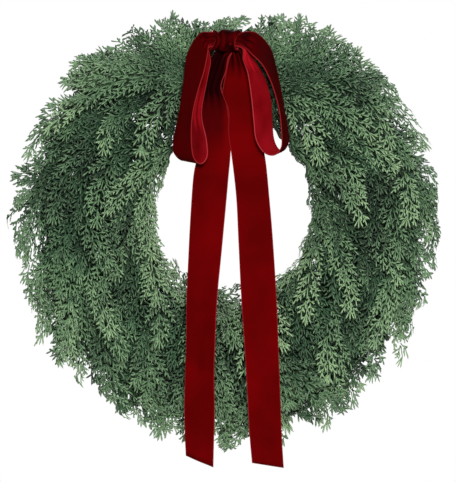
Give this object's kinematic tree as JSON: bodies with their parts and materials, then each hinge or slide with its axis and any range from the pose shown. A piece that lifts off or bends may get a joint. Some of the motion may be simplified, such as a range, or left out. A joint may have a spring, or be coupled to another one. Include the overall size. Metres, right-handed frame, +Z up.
{
  "type": "cedar advent wreath",
  "caption": "Round hanging wreath of flat cedar sprays wired to a double-rail frame, combed downwards, with a velvet ribbon bow and long tails.",
  "frame": {"origin": "the hook point: under the wire frame's outer rail at the top, where a hook or nail carries the wreath", "axes": "+Z up, the front towards -Y, the wall or door behind at +Y, +X to the right seen from the front"},
  "size_m": [0.6105, 0.174, 0.6534],
  "materials": {
    "cedar": "matte scale foliage, sage green",
    "velvet": "crimson velvet ribbon",
    "wire": "dark green painted wire"
  },
  "bodies": {
    "root": {"bow_knot": "velvet", "bow_loops": "velvet", "bow_tails": "velvet", "bow_tie": "wire", "cedar_crown_left_1": "cedar", "cedar_crown_left_2": "cedar", "cedar_crown_right_1": "cedar", "cedar_crown_right_2": "cedar", "cedar_edge_left_1": "cedar", "cedar_edge_left_2": "cedar", "cedar_edge_left_3": "cedar", "cedar_edge_left_4": "cedar", "cedar_edge_left_5": "cedar", "cedar_edge_left_6": "cedar", "cedar_edge_left_7": "cedar", "cedar_edge_right_1": "cedar", "cedar_edge_right_2": "cedar", "cedar_edge_right_3": "cedar", "cedar_edge_right_4": "cedar", "cedar_edge_right_5": "cedar", "cedar_edge_right_6": "cedar", "cedar_edge_right_7": "cedar", "cedar_hole_left_1": "cedar", "cedar_hole_left_2": "cedar", "cedar_hole_left_3": "cedar", "cedar_hole_left_4": "cedar", "cedar_hole_right_1": "cedar", "cedar_hole_right_2": "cedar", "cedar_hole_right_3": "cedar", "cedar_hole_right_4": "cedar", "cedar_inner_left_1": "cedar", "cedar_inner_left_2": "cedar", "cedar_inner_left_3": "cedar", "cedar_inner_left_4": "cedar", "cedar_inner_left_5": "cedar", "cedar_inner_left_6": "cedar", "cedar_inner_right_1": "cedar", "cedar_inner_right_2": "cedar", "cedar_inner_right_3": "cedar", "cedar_inner_right_4": "cedar", "cedar_inner_right_5": "cedar", "cedar_inner_right_6": "cedar", "cedar_outer_left_1": "cedar", "cedar_outer_left_2": "cedar", "cedar_outer_left_3": "cedar", "cedar_outer_left_4": "cedar", "cedar_outer_left_5": "cedar", "cedar_outer_left_6": "cedar", "cedar_outer_left_7": "cedar", "cedar_outer_right_1": "cedar", "cedar_outer_right_2": "cedar", "cedar_outer_right_3": "cedar", "cedar_outer_right_4": "cedar", "cedar_outer_right_5": "cedar", "cedar_outer_right_6": "cedar", "cedar_outer_right_7": "cedar", "wire_frame": "wire"}
  },
  "joints": []
}
